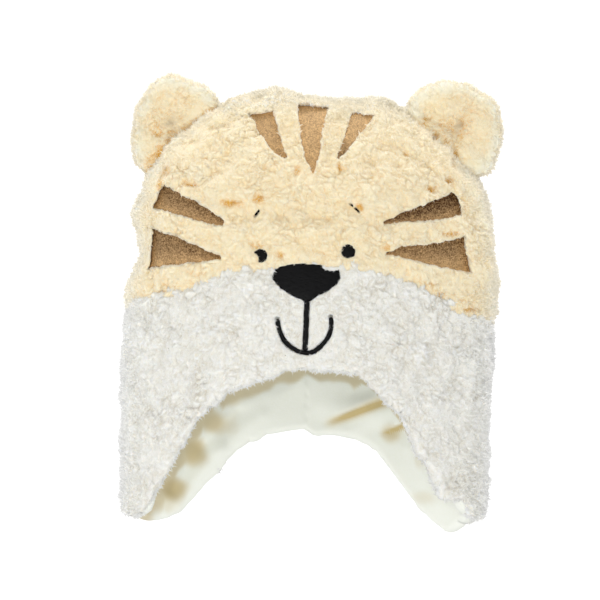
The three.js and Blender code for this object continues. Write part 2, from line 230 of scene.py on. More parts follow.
# Pile, stitches and lining
STITCH_BED = 1.3  # from the brown stitches' face down to the floor of the pile there
RIM = 0.5  # how far a patch of stitches runs on under the pile round it
BLACK_DEPTH = 2.4  # from the pile's tips down to the black stitches
LINING_INSET = PILE + GAP + LINING
LINING_ROLL = 3.7  # of its turned lower edge
LINING_OVERLAP = 1.0  # of the front's and the back's lining at the side seams
FIBRE_WIDTH = 0.24  # a few fibres together, as fine as the render shows
LOCK_WIDTH = 1.15  # the loose end of a lock
LOCK_SHARE = 0.09
FRONT_FIBRES = 70000  # on each of the two front panels
BACK_FIBRES = 28000
EAR_FIBRES = 16000
FRONT_COLUMNS = 480
BACK_COLUMNS = 260
SKIN_ROWS = 320
ROLL_ROWS = 14  # round a turned edge
TUCK_ROWS = 3  # behind it
TUCK_CLIMB = 8.0  # how far a turned edge goes up again behind itself
ROLL_RADIUS = 3.8  # of the sherpa's turned lower edge
FLAP_BELOW = 180.0  # a level through the flaps, below the top seam
WIDEST_BELOW = 140.0
FACE_RUN = 160.0  # how far down the middle of the face the crown's curve is measured


# Numbers from whole arrays

def scatter(cells, seed):
    """Six numbers from 0 to 1 for each integer cell: its coordinates are mixed by
    multiplying with large odd numbers and folding the high bits back."""
    x, y, z = (cells[:, axis].astype(np.uint32) for axis in range(3))
    mixed = x * np.uint32(73856093) ^ y * np.uint32(19349663) ^ z * np.uint32(83492791)
    mixed ^= np.uint32(seed * 2654435761 % 2**32)
    numbers = []
    for _ in range(6):
        mixed = (mixed ^ (mixed >> np.uint32(15))) * np.uint32(2246822519)
        mixed = (mixed ^ (mixed >> np.uint32(13))) * np.uint32(3266489917)
        mixed ^= mixed >> np.uint32(16)
        numbers.append((mixed >> np.uint32(8)).astype(np.float32) / 2**24)
    return np.stack(numbers, axis=1)


def ease(t):
    """0 to 1 with flat ends: 3t^2 - 2t^3, held outside."""
    t = np.clip(t, 0, 1)
    return t * t * (3 - 2 * t)


def bell(t):
    """1 at 0 and falling off on both sides: e to the power of minus t squared."""
    return np.exp(-(t**2))


def hill(x, z, at_x, at_z, wide, high):
    """A round hill of height 1: e to the power of minus the squared distance from its
    middle, measured in its spreads."""
    return np.exp(-(((x - at_x) / wide) ** 2) - ((z - at_z) / high) ** 2)


def drift(points, size, seed):
    """Three smooth noises from -1 to 1: lattice numbers blended by eased distance to the
    eight corners round each point."""
    scaled = points / size
    cell = np.floor(scaled).astype(np.int64)
    part = ease(scaled - cell)
    total = np.zeros((len(points), 3))
    for corner in np.ndindex(2, 2, 2):
        weight = np.prod(np.where(np.array(corner) == 1, part, 1 - part), axis=1)
        total += weight[:, None] * scatter(cell + np.array(corner), seed)[:, :3]
    return 2 * total - 1


def heap(points, normals, size, seed):
    """A heap of puffs: round hills of differing width and height on jittered lattice
    centres, wider than tall, and at each point the highest of them. A hill is a number of
    its own plus 0.6 times 1 less the squared distance over its squared width. Returns the
    height in lattice sizes, its lead over the next highest, and the hill's centre."""
    base = np.floor(points / size).astype(np.int64)
    best = np.full(len(points), -9.0)
    second = np.full(len(points), -9.0)
    centre = np.zeros((len(points), 3))
    for shift in np.ndindex(3, 3, 3):
        cell = base + np.array(shift) - 1
        numbers = scatter(cell, seed)
        middle = (cell + numbers[:, :3]) * size
        away = (points - middle) / size
        away -= 0.45 * normals * np.sum(away * normals, axis=1, keepdims=True)
        tall = 0.85 + 0.2 * numbers[:, 5]
        reach = (away[:, 0] / 1.25) ** 2 + away[:, 1] ** 2 + (away[:, 2] / tall) ** 2
        height = 0.5 * numbers[:, 3] + 0.6 * (1 - reach / (0.55 + 0.5 * numbers[:, 4]) ** 2)
        higher = height > best
        second = np.where(higher, best, np.maximum(second, height))
        best = np.where(higher, height, best)
        centre[higher] = middle[higher]
    return best, best - second, centre


def distance_to_line(x, z, line):
    """Distance of each point to a run of straight stretches, the least over them all."""
    least = np.full(x.shape, 1e9)
    for (ax, az), (bx, bz) in zip(line[:-1], line[1:]):
        length = (bx - ax) ** 2 + (bz - az) ** 2
        part = np.clip(((x - ax) * (bx - ax) + (z - az) * (bz - az)) / length, 0, 1)
        least = np.minimum(least, np.hypot(x - ax - part * (bx - ax), z - az - part * (bz - az)))
    return least


def inside_by(x, z, outline):
    """How far inside a closed outline each point lies, negative outside: the distance to
    its edges, signed by counting the edges that a level ray crosses."""
    closed = list(outline) + [outline[0]]
    odd = np.zeros(x.shape, bool)
    for (ax, az), (bx, bz) in zip(closed[:-1], closed[1:]):
        if az != bz:
            odd ^= ((az > z) != (bz > z)) & (x < (bx - ax) * (z - az) / (bz - az) + ax)
    return np.where(odd, 1, -1) * distance_to_line(x, z, closed)


# The outer form

root_depth = np.linspace(0, math.sqrt(SECTIONS[-1, 0]), 700)
table_root = np.sqrt(SECTIONS[:, 0])
kernel = bell(np.linspace(-2, 2, 41))
kernel /= kernel.sum()


def softened(values):
    """The table's straight stretches rounded by a moving average, with its ends held."""
    before = 2 * values[0] - values[20:0:-1]
    after = 2 * values[-1] - values[-2:-22:-1]
    return np.convolve(np.concatenate((before, values, after)), kernel, mode="valid")


half_width_table = softened(np.interp(root_depth, table_root, SECTIONS[:, 1]))
half_depth_table = softened(np.interp(root_depth, table_root, SECTIONS[:, 2]))


def section(below_top):
    """Half-width and half-depth of the level section this far below the top seam, looked
    up in the rounded tables by the square root of that distance."""
    root = np.sqrt(np.maximum(below_top, 0))
    half_width = np.interp(root, root_depth, half_width_table)
    return half_width, np.interp(root, root_depth, half_depth_table)


def swell_at(side, x, z):
    """Sum of one side's hills, times 1 less a power of the share of the half-width, which
    fades them out towards the side seams."""
    height = np.zeros(np.shape(x))
    for which, at_x, at_z, tall, wide, high in SWELLS:
        if which == side:
            height += tall * hill(x, z, at_x, at_z, wide, high)
    return height * np.maximum(0, 1 - (np.abs(x) / HALF_WIDTH) ** SEAM_FADE)


def skin(inset, angle, below_top):
    """Points of the form that lies `inset` inside the pile's tips: a superellipse scaled
    towards the axis and lowered by the inset, pushed out by the swells."""
    half_width, half_depth = section(below_top)
    cos, sin = np.cos(angle), np.sin(angle)
    power = 2 / ROUNDNESS
    x = (1 - inset / HALF_WIDTH) * half_width * np.sign(cos) * np.abs(cos) ** power
    y = (1 - inset / HALF_DEPTH) * half_depth * np.sign(sin) * np.abs(sin) ** power
    z = CROWN_TOP - inset - below_top + 0 * x
    grow = np.minimum(1, below_top / SWELL_START)
    y = y - np.where(sin < 0, grow * swell_at(-1, x, z), -grow * swell_at(1, x, z))
    return np.stack((x, y, z), axis=-1)


def front_y(x, z, inset):
    """The y of the same form on the face's side: the superellipse solved for y at this x
    and z."""
    below_top = np.maximum(CROWN_TOP - inset - z, 0.05)
    half_width, half_depth = section(below_top)
    across = np.clip(np.abs(x) / ((1 - inset / HALF_WIDTH) * half_width), 0, 1)
    y = (1 - inset / HALF_DEPTH) * half_depth * (1 - across**ROUNDNESS) ** (1 / ROUNDNESS)
    return -y - np.minimum(1, below_top / SWELL_START) * swell_at(-1, x, z)


def even_angles(start, stop, count):
    """Angles whose points lie evenly round the widest section: equal shares of its summed
    length."""
    angle = np.linspace(start, stop, 8000)
    points = skin(0, angle, np.full(angle.shape, WIDEST_BELOW))[:, :2]
    run = np.concatenate(([0], np.cumsum(np.linalg.norm(np.diff(points, axis=0), axis=1))))
    return np.interp(np.linspace(0, run[-1], count), run, angle)


def height_of(line, x):
    """Height of an edge at x, from its left or right column."""
    left = np.interp(-x, line[:, 0], line[:, 1])
    right = np.interp(x, line[:, 0], line[:, 2])
    return np.where(x < 0, left, right)


def crown_run():
    """Distances below the top seam, and how far each lies from the seam along the crown's
    curve down the middle of the face: the summed lengths of short straight stretches."""
    below = np.linspace(0, 1, 4000) ** 2 * FACE_RUN
    middle = section(below)[1]
    run = np.concatenate(([0], np.cumsum(np.hypot(np.diff(below), np.diff(middle)))))
    return below, run


def grid_normals(points):
    """Unit normals of a grid of points, from the cross product of its two directions."""
    down = np.gradient(points, axis=0)
    across = np.gradient(points, axis=1)
    normal = np.cross(down, across)
    return normal / (np.linalg.norm(normal, axis=2, keepdims=True) + 1e-9)


def bare_band(side, x):
    """How far the lining's turned edge shows below the pile: wide along the back, a
    little on the front of the flaps, none over the arch or at the side seams."""
    side_fade = 1 - ease((np.abs(x) - 95) / 9)
    if side > 0:
        return (2.8 - 2.6 * bell((x + 26) / 5)) * side_fade
    return 0.9 * ease((np.abs(x) - 40) / 14) * side_fade


def shell_grid(edge, angles, side, inset, roll, rows, tuck, lift):
    """A wall's visible skin from the top seam to a turned lower edge. Each column runs
    down the skin to near the edge, then round a half circle square to the edge, then a
    little way up behind it. A roll below 0 turns outwards, for a skin seen from inside.
    Returns points, normals and how far round the turn each row lies."""
    side_x = skin(inset, angles, np.full(angles.shape, FLAP_BELOW))[:, 0]
    # Near the side seams the edge is read further out, where the outer skin's own edge is.
    seam_share = HALF_WIDTH / (HALF_WIDTH - inset) - 1
    side_x = side_x * (1 + seam_share * ease((np.abs(side_x) + inset - 88) / 20))
    edge_below = CROWN_TOP - inset - height_of(edge, side_x) - lift(side, side_x)
    # Where the edge runs steeply, the turn starts higher, so that it stays square to it.
    rim = skin(inset, angles, edge_below)
    along = np.gradient(rim, axis=0)
    along /= np.linalg.norm(along, axis=1, keepdims=True)
    steep = np.sqrt(np.maximum(1 - along[:, 2] ** 2, 0.12))
    last = edge_below - abs(roll) / steep
    below, run = crown_run()
    end_run = np.interp(last, below, run, right=np.nan)
    end_run = np.where(np.isnan(end_run), run[-1] + (last - below[-1]), end_run)
    share = np.linspace(0, 1, rows)[:, None] * end_run[None, :]
    straight = below[-1] + share - run[-1]
    depth = np.where(share <= run[-1], np.interp(share, run, below), straight)
    points = skin(inset, angles[None, :] + 0 * depth, depth)
    normals = grid_normals(points) * np.sign(roll)
    out = normals[-1]
    edge_way = np.gradient(points[-1], axis=0)
    edge_way /= np.linalg.norm(edge_way, axis=1, keepdims=True)
    down = np.cross(edge_way, out)
    down *= np.sign(-down[:, 2:3]) + (down[:, 2:3] == 0)
    turn = np.linspace(0, math.pi, ROLL_ROWS + 1)[1:]
    sin, cos = np.sin(turn)[:, None, None], np.cos(turn)[:, None, None]
    around = points[-1] + abs(roll) * (sin * down - (1 - cos) * out)
    climb = np.linspace(0, 1, tuck + 1)[1:, None, None] * TUCK_CLIMB
    behind = around[-1] - climb * down
    inwards = np.repeat(-out[None], tuck, axis=0)
    points = np.concatenate((points, around, behind))
    normals = np.concatenate((normals, cos * out + sin * down, inwards))
    past = np.concatenate((np.zeros(rows), np.sin(turn), np.zeros(tuck)))
    return points, normals, past


# Meshes and pieces

def grid_quads(rows, columns, wrap=False):
    """Corner numbers of the quads of a grid, going round as the rows run down."""
    across = np.arange(columns - (0 if wrap else 1))
    row, column = np.meshgrid(np.arange(rows - 1), across, indexing="ij")
    here = row * columns + column
    beside = row * columns + (column + 1) % columns
    return np.stack((here, here + columns, beside + columns, beside), axis=-1).reshape(-1, 4)


def widened(points):
    """Points drawn outwards near the side seams by the tables of their height."""
    x, z = points[:, 0], points[:, 2]
    left = np.interp(z, LEFT_WIDENING[:, 0], LEFT_WIDENING[:, 1])
    right = np.interp(z, RIGHT_WIDENING[:, 0], RIGHT_WIDENING[:, 1])
    shift = np.where(x < 0, -left, right) * ease((np.abs(x) - WIDENING_START) / WIDENING_WIDTH)
    return points + shift[:, None] * np.array((1, 0, 0))


def add_mesh(name, points, faces, attributes=None):
    """A smooth mesh from whole arrays of points in millimetres and of quads or
    triangles, keeping only the points that the faces use."""
    used, numbers = np.unique(faces, return_inverse=True)
    faces = numbers.reshape(faces.shape)
    mesh = bpy.data.meshes.new(name)
    mesh.from_pydata((points[used] * MM).tolist(), [], faces.tolist())
    mesh.polygons.foreach_set("use_smooth", np.ones(len(faces), bool))
    for label, values in (attributes or {}).items():
        attribute = mesh.attributes.new(label, "FLOAT", "POINT")
        attribute.data.foreach_set("value", values[used].astype(np.float32))
    piece = bpy.data.objects.new(name, mesh)
    bpy.context.scene.collection.objects.link(piece)
    return piece


def add_piece(name, points, faces, attributes, material, node):
    """A piece of the hat with its finish and body, standing for a solid."""
    piece = add_mesh(name, widened(points), faces, attributes)
    piece.data.materials.append(material)
    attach(piece, "root")
    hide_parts(node)


# Pile. The last number of each drift and heap is its seed.

def sherpa(points, normals):
    """Curly pile on a surface: soft puffs with smaller curls on them, drawn aside by slow
    noise, over clumps and lumps, and combed flatter on the right flap. Returns the height,
    the sideways lean, how deep each point lies between the puffs, and its puff's centre."""
    warped = points + 1.6 * drift(points, 6.5, 3) + 1.1 * drift(points, 2.8, 5)
    combed = 0.35 * np.maximum(-130 - points[:, 2], 0) * ease((points[:, 0] - 20) / 40)
    warped[:, 2] -= combed
    puff, lead, centre = heap(warped, normals, PUFF, 11)
    puff = puff + 0.1 * np.clip(1 - lead / 0.4, 0, 1) ** 2
    curl, curl_lead, _ = heap(warped + 0.5 * drift(points, 1.7, 8), normals, CURL, 23)
    curl = curl + 0.1 * np.clip(1 - curl_lead / 0.4, 0, 1) ** 2
    frizz = drift(points, FRIZZ, 83)[:, 0]
    clump = drift(points, CLUMP, 37)[:, 0]
    lump = drift(points, LUMP, 31)[:, 0]
    parted = ease(0.5 + 0.9 * drift(points, 9, 43)[:, 0])
    crevice = parted * (1 - ease(lead / 0.22))
    height = PUFF_HEIGHT * (puff - MEAN_HILL) - CREVICE_DEPTH * crevice
    height = height + CURL_HEIGHT * (curl - MEAN_HILL) + FRIZZ_HEIGHT * frizz
    height += CLUMP_HEIGHT * clump + LUMP_HEIGHT * lump
    lean = 0.8 * drift(points, 14, 41) + 0.9 * drift(points, 4.5, 47) + np.array((0, 0, -0.4))
    lean -= normals * np.sum(lean * normals, axis=1, keepdims=True)
    shift = lean * (1.3 * np.clip(puff, 0, 1.1))[:, None]
    # How deep a point lies between the puffs sets the painted shade in its colour; clumps and
    # frizz vary it.
    depth = 0.75 - 0.75 * puff + 0.4 * crevice + 0.25 * (0.75 - curl)
    depth = np.clip(depth - 0.12 * clump - 0.16 * frizz, 0, 1)
    return height, shift, depth, centre


def rim_painted_light(bend):
    """How far the pile is painted paler where it bends away to the outline: painted light."""
    return RIM_PALE * ease((bend - 0.25) / 0.65)


def fuzz(node, points, normals, bend, chosen, count, seed, material):
    """Loose fibres that stand out of the pile, each a thin triangle from a chosen point: it
    lies over at random and faces outwards, turned a little. Where the cloth bends round to
    its sides and seams the pile opens, so there are more of them there, longer and in
    thicker locks. `bend` is 0 where the form faces front or back and 1 at its rim."""
    chance = np.random.default_rng(seed)
    places = np.flatnonzero(chosen)
    weight = 1 + 2 * bend[places]
    roots = chance.choice(places, count, p=weight / weight.sum())
    normal = normals[roots]
    bend = bend[roots][:, None]
    aside = chance.normal(size=(count, 3))
    aside -= normal * np.sum(aside * normal, axis=1, keepdims=True)
    aside /= np.linalg.norm(aside, axis=1, keepdims=True)
    way = (chance.uniform(0.15, 1.1, (count, 1)) + 0.5 * bend) * normal + aside
    way /= np.linalg.norm(way, axis=1, keepdims=True)
    root = points[roots] + chance.uniform(-0.3, 0.3, (count, 3)) - 0.15 * normal
    lock = chance.random((count, 1)) < LOCK_SHARE * (1 + 3 * bend)
    tip = root + chance.uniform(0.9, 2.6, (count, 1)) * np.where(lock, 1.1 + 0.5 * bend, 1) * way
    wide = np.cross(way, normal + 0.45 * chance.normal(size=(count, 3)))
    half_width = np.where(lock, LOCK_WIDTH, FIBRE_WIDTH) / 2
    wide *= half_width / np.linalg.norm(wide, axis=1, keepdims=True)
    corners = np.stack((root - wide, root + wide, tip), axis=1).reshape(-1, 3)
    faces = np.arange(3 * count).reshape(-1, 3)
    # Painted light: the fibres are painted paler where the form bends away.
    painted_light = {"painted_light": np.repeat(rim_painted_light(bend[:, 0]), 3)}
    add_piece(node + "_fuzz", corners, faces, painted_light, material, node)


def inside_stripes(x, z):
    """How far inside any of the brown stripes each point of the face lies."""
    return np.max([inside_by(x, z, outline) for outline in STRIPES.values()], axis=0)


def brown_depth(z):
    """How deep the brown stitches lie: 4.3 on the cheeks, easing to 2.4 on the forehead."""
    return 4.3 - 1.9 * ease((z + 34) / 20)


def inside_black(x, z):
    """How far inside any of the black embroidery each point of the face lies."""
    deepest = inside_by(x, z, NOSE)
    for at_x, at_z in EYES.values():
        deepest = np.maximum(deepest, EYE_RADIUS - np.hypot(x - at_x, z - at_z))
    for stroke in BROWS.values():
        deepest = np.maximum(deepest, BROW_WIDTH / 2 - distance_to_line(x, z, stroke))
    deepest = np.maximum(deepest, LIP_WIDTH / 2 - distance_to_line(x, z, LIP))
    deepest = np.maximum(deepest, SMILE_WIDTH / 2 - distance_to_line(x, z, SMILE))
    return deepest


def calmness(x, z):
    """Where the pile lies flatter, from 0 to 1: the greatest of the table's hills."""
    return np.max([calm * hill(x, z, *place) for *place, calm in CALM], axis=0)


def dents_at(x, z):
    """Depth of the dents of the front, and how much painted warm shade shows in them."""
    depth = np.zeros(len(x))
    fold_shade = np.zeros(len(x))
    for at_x, at_z, deep, wide, high in DENTS:
        dent = hill(x, z, at_x, at_z, wide, high)
        depth += deep * dent
        fold_shade = np.maximum(fold_shade, dent * min(1, deep / 2.5))
    return depth, fold_shade


def seat_shade(flat):
    """Painted warm shade in a ring on the front, where the ears meet the crown."""
    fold_shade = np.zeros(len(flat))
    for ear_x, ear_z, _, crease in EARS.values():
        reach = np.hypot(flat[:, 0] - ear_x, flat[:, 2] - ear_z)
        seat = bell((reach - 26) / 4) * bell(flat[:, 1] / 10)
        fold_shade = np.maximum(fold_shade, 0.9 * crease * seat)
    return fold_shade


def face_relief(flat, height, shift):
    """What the front's pile has beside its curls: dents, pile pressed flat in calm places
    and round the black stitches, and tufts over them. Returns the height and lean, how
    much painted warm shade of dents and creases shows, and how far each point sinks to
    the bed of a patch."""
    x, z = flat[:, 0], flat[:, 2]
    dented, fold_shade = dents_at(x, z)
    height = height - dented
    black = inside_black(x, z)
    # Under a covering tuft nothing counts as black.
    for at_x, at_z, wide, high in COVERS:
        black = np.minimum(black, 4 * np.hypot((x - at_x) / wide, (z - at_z) / high) - 4)
    calm = np.maximum(calmness(x, z), 0.85 * ease(black / 5 + 1))
    height = height * (1 - 0.7 * calm) - 1.6 * calm
    shift = shift * (1 - 0.6 * calm[:, None])
    for place in COVERS:
        height += COVER_HEIGHT * hill(x, z, *place)
    ragged = 0.55 * drift(flat, 2.4, 53)[:, 0] + 0.4 * drift(flat, 1.2, 59)[:, 0]
    sunk = ease((inside_stripes(x, z) + ragged - 0.1) / 0.7 + 0.5)
    sunk = np.maximum(sunk, ease((black + 0.35 * ragged - 0.1) / 0.5 + 0.5))
    return height, shift, np.maximum(fold_shade, seat_shade(flat)), sunk


def pile_shell(edge, angles, side):
    """The pile of the front or the back as one displaced grid. Returns its points and
    normals, how far the form bends away, the quads, which points are cream and which
    carry loose fibres, and the attributes of its colour."""
    points, normals, _ = shell_grid(
        edge, angles, side, 0, ROLL_RADIUS, SKIN_ROWS, TUCK_ROWS, bare_band)
    points[0, :, 1] = 0
    normals[0] = (0, 0, 1)
    normals[:, (0, -1), 1] = 0
    normals /= np.linalg.norm(normals, axis=2, keepdims=True)
    rows, columns = points.shape[:2]
    flat = points.reshape(-1, 3)
    out = normals.reshape(-1, 3)
    bend = 1 - np.abs(out[:, 1])
    height, shift, depth, centre = sherpa(flat, out)
    height -= BEND_DROP * bend
    hidden = np.repeat(np.arange(rows) >= rows - TUCK_ROWS, columns)
    height = np.where(hidden, 0, height)
    shift = np.where(hidden[:, None], 0, shift)
    fold_shade = np.zeros(len(flat))
    sunk = np.zeros(len(flat))
    if side < 0:
        height, shift, fold_shade, sunk = face_relief(flat, height, shift)
    displaced = flat + out * height[:, None] + shift
    x, z = flat[:, 0], flat[:, 2]
    if side < 0:
        bed = np.stack((x, front_y(x, z, brown_depth(z) + STITCH_BED), z), axis=1)
        displaced = displaced + (bed - displaced) * sunk[:, None]
    below_top = np.maximum(CROWN_TOP - z, 0)
    rise = np.interp(x, TOP_RISE[:, 0], TOP_RISE[:, 1])
    displaced[:, 2] += rise * np.exp(-(below_top / TOP_REACH) * (2 if side < 0 else 1))
    # Painted light: less painted shade near the top seam.
    depth = np.clip(depth - 0.4 * np.exp(-below_top / TOP_REACH), 0, 1)
    line = height_of(MUZZLE_LINE, centre[:, 0]) if side < 0 else BACK_COLOUR_LINE
    # The cream is a little richer just above the colour line, towards the sides.
    warm = 0.32 * ease((np.abs(x) - 45) / 25) * bell((z - line - 3.5) / 4)
    # Painted light along the outline and the top seam.
    painted_light = np.clip(rim_painted_light(bend) + PALEST * bell(below_top / 9), 0, PALEST)
    attributes = {"painted_pile_shade": depth, "fold_shade": np.maximum(fold_shade, warm), "painted_light": painted_light}
    new_normals = grid_normals(displaced.reshape(rows, columns, 3)).reshape(-1, 3)
    fluffy = ~hidden & (sunk < 0.05)
    quads = grid_quads(rows, columns)
    return displaced, new_normals, bend, quads, centre[:, 2] > line, fluffy, attributes


def build_panels(materials):
    """Face and muzzle from the front grid, crown and lower back from the back grid: each
    quad goes to the panel on whose side its tuft is rooted."""
    front_angles = even_angles(math.pi, 2 * math.pi, FRONT_COLUMNS)
    back_angles = even_angles(0, math.pi, BACK_COLUMNS)
    for edge, angles, side, upper, lower, count in (
        (FRONT_EDGE, front_angles, -1, "face_panel", "muzzle_panel", FRONT_FIBRES),
        (BACK_EDGE, back_angles, 1, "back_crown_panel", "back_lower_panel", BACK_FIBRES),
    ):
        points, normals, bend, quads, cream, fluffy, attributes = pile_shell(edge, angles, side)
        fuzz(upper, points, normals, bend, fluffy & cream, count, 5,
             materials["cream_fuzz"])
        fuzz(lower, points, normals, bend, fluffy & ~cream, count, 6,
             materials["white_fuzz"])
        is_cream = cream[quads[:, 0]]
        add_piece(upper + "_pile", points, quads[is_cream], attributes,
                  materials["cream"], upper)
        add_piece(lower + "_pile", points, quads[~is_cream], attributes,
                  materials["white"], lower)


def outside_crown(points, inset):
    """Above 0 where a point lies outside the form at this inset: its x and y over the
    half-width and half-depth there, each to the superellipse's power, summed, less 1."""
    below_top = np.maximum(CROWN_TOP - inset - points[:, 2], 0)
    half_width, half_depth = section(below_top)
    wide = (1 - inset / HALF_WIDTH) * half_width
    deep = np.maximum((1 - inset / HALF_DEPTH) * half_depth, 0.5)
    across = (np.abs(points[:, 0]) / wide) ** ROUNDNESS
    outside = across + (np.abs(points[:, 1]) / deep) ** ROUNDNESS - 1
    return np.where(points[:, 2] > CROWN_TOP - inset, 1, outside)


def ear_form(name):
    """An ear's closed grid from the middle of its front to the middle of its back: as far
    out in each direction as its rim, with a dish in its front. Returns the points, their
    normals, and how far each row lies on the way to the rim."""
    ear_x, ear_z, _, _ = EARS[name]
    around = np.linspace(0, 2 * math.pi, EAR_COLUMNS, endpoint=False)
    distance = EAR_RIMS[:, 1 if name == "ear_left" else 2]
    reach = np.interp(np.degrees(around), EAR_RIMS[:, 0], distance, period=360)
    ring = np.concatenate((reach[-8:], reach, reach[:8]))
    reach = np.convolve(ring, np.ones(17) / 17, mode="valid")
    run = np.linspace(0, 2, EAR_ROWS)
    share = np.sin(np.minimum(run, 2 - run) * math.pi / 2)
    rim = np.sqrt(np.clip(1 - share**EAR_EDGE, 0, 1))
    front = -EAR_FRONT * rim + EAR_HOLLOW * bell(share / EAR_HOLLOW_SHARE)
    y = np.where(run < 1, front, EAR_BACK * rim)
    x = ear_x + share[:, None] * reach * np.cos(around)
    z = ear_z + share[:, None] * reach * np.sin(around)
    points = np.stack((x, y[:, None] + 0 * x, z), axis=-1)
    wrapped = np.concatenate((points, points[:, :1]), axis=1)
    normals = grid_normals(wrapped)[:, :-1].reshape(-1, 3)
    away = points.reshape(-1, 3) - np.array((ear_x, 0, ear_z))
    normals *= np.sign(np.sum(normals * away, axis=1, keepdims=True) + 1e-9)
    normals[:EAR_COLUMNS] = (0, -1, 0)
    normals[-EAR_COLUMNS:] = (0, 1, 0)
    return points.reshape(-1, 3), normals, share


def drawn_to_wall(points, outward):
    """Points that would lie in the crown, moved outwards onto its wall, which is found by
    halving a distance again and again, and which points those are."""
    low, high = np.zeros(len(points)), np.full(len(points), 60.0)
    buried = outside_crown(points, EAR_SEAT) < 0
    for _ in range(14):
        middle = (low + high) / 2
        still = outside_crown(points + middle[:, None] * outward, EAR_SEAT) < 0
        low, high = np.where(still, middle, low), np.where(still, high, middle)
    return np.where(buried[:, None], points + high[:, None] * outward, points), buried


def build_ear(name, material, fuzz_material):
    """An ear covered with pile that is shorter on its flat sides, with a crease along the
    crown or, without one, a front that swells forward over the seam."""
    ear_x, ear_z, lean, crease = EARS[name]
    turn = math.radians(lean)
    outward = np.array((math.sin(turn), 0, math.cos(turn)))
    flat, normals, share = ear_form(name)
    flat, buried = drawn_to_wall(flat, outward)
    bend = 1 - np.abs(normals[:, 1])
    off_wall = outside_crown(flat, 0)
    in_front = flat[:, 1] < 0
    flat[:, 1] -= ROOT_FORWARD * ((1 - crease) * ease(1 - off_wall / 0.5) * in_front)
    height, shift, depth, _ = sherpa(flat, normals)
    height *= 0.5 + 0.35 * bend
    height -= BEND_DROP * bend
    # The crease's painted shade lies in front, where the ear meets the wall.
    near_wall = crease * np.clip(1 - off_wall / 0.3, 0, 1) * ease(0.5 - flat[:, 1] / 8)
    dented, dent_shade = dents_at(flat[:, 0], flat[:, 2])
    height -= dented * (flat[:, 1] < 0)
    displaced = flat + (1 - buried)[:, None] * (normals * height[:, None] + shift)
    middle_x, middle_z = ear_x + 3 * outward[0], ear_z + 3 * outward[2]
    cup = 0.36 * bell(np.hypot(flat[:, 0] - middle_x, flat[:, 2] - middle_z) / 14)
    fold_shade = np.maximum(near_wall, np.maximum(cup, dent_shade) * (flat[:, 1] < 0))
    # Painted light: the ear is painted paler towards its rim.
    painted_light = RIM_PALE * ease((np.repeat(share, EAR_COLUMNS) - 0.62) / 0.38) * (1 - near_wall)
    depth = np.clip(depth - 0.35 * painted_light, 0, 1)
    quads = grid_quads(EAR_ROWS, EAR_COLUMNS, wrap=True)[:, ::-1]
    attributes = {"painted_pile_shade": depth, "fold_shade": fold_shade, "painted_light": painted_light}
    add_piece(name + "_pile", displaced, quads, attributes, material, name)
    twice_round = np.concatenate((displaced.reshape(EAR_ROWS, EAR_COLUMNS, 3),) * 2, axis=1)
    new_normals = grid_normals(twice_round)[:, 1 : EAR_COLUMNS + 1].reshape(-1, 3)
    new_normals *= np.sign(np.sum(new_normals * normals, axis=1, keepdims=True) + 1e-9)
    fuzz(name, displaced, new_normals, bend, ~buried, EAR_FIBRES, 7, fuzz_material)


# Lining

# Pleats: from x, from z, to x, to z, height of the upper side, reach below
PLEATS = (
    (8, -184, 47, -167.2, 2.8, 4.8), (44, -189, 63, -180.5, 2.0, 3.0),
)

# Softer folds: from x, from z, to x, to z, height, width
LINING_FOLDS = (
    (26, -188, 56, -173, 1.2, 4.5), (66, -195, 84, -228, 1.4, 5),
    (-41, -178, -61, -200, -1.8, 4.5), (-61, -200, -76, -226, -2.2, 4.5),
    (-26, -180, -50, -202, 1.6, 5.0), (-50, -202, -74, -234, 2.2, 5.0),
    (-76, -205, -84, -230, 1.2, 4),
)

# How far the warm shade under the front edge reaches: x, reach
SHADE_WIDTH = np.array([
    (-100, 8), (-84, 9), (-74, 8), (-62, 7.5), (-57, 5), (-55, 1.5), (-52, 2), (-49, 8),
    (-35, 8.5), (-6, 7.5), (2, 4.5), (9, 7.5), (30, 8), (35, 2), (40, 0.6), (100, 0.6),
])
EDGE_SHADE = 0.68
EDGE_SHADE_FADE = 30  # how far above the front edge that shade ends

# Deep shade where the flaps fold inwards: x, z, spread in x, spread in z, strength
POCKETS = (
    (-54.6, -185.3, 11, 7, 0.85), (-65.4, -202.5, 8, 10, 0.95), (-78.3, -225.8, 8.5, 9.5, 1.0),
    (54.1, -187.7, 6, 6, 0.8), (71.5, -202, 3, 5, 0.3), (74.8, -225.3, 8, 4, 0.3),
)
POCKET_SHADE = 0.9
SEAM_DEPTH = 1.1
SEAM_REACH = 1.1  # of the groove, to each side


def lining_lift(side, x):
    """How far above the pile's edge the lining's edge lies: below it along the back,
    above it over the arch."""
    if side > 0:
        right_flap = 1.8 * ease((x - 70) / 15) * (1 - ease((x - 98) / 8))
        return -2.2 - right_flap + 1.5 * ease((np.abs(x) - 97) / 9)
    arch = 1.4 * (1 - ease((np.abs(x) - 40) / 14))
    return arch + 3.0 * ease((np.abs(x) - 82) / 8)


def pleat_at(x, z, pleat):
    """A pleat's height and shade: the cloth rises towards the line from above, drops
    sharply past it, and comes back below, growing from one end of the line to the other."""
    ax, az, bx, bz, tall, reach = pleat
    length = math.hypot(bx - ax, bz - az)
    along = ((x - ax) * (bx - ax) + (z - az) * (bz - az)) / length**2
    above = ((z - az) * (bx - ax) - (x - ax) * (bz - az)) / length
    grown = ease(along / 0.6) * (1 - ease((along - 1.05) / 0.25))
    upper = ease(above / 1.4 + 0.5)
    rise = tall * bell(np.maximum(above, 0) / 5.5)
    hollow = -0.45 * tall * bell(above / reach)
    shade = 1.35 * bell((above + 0.45 * reach) / (0.55 * reach))
    height = grown * (rise * upper + hollow * (1 - upper))
    return height, ease(along / 0.25) * grown**0.5 * shade


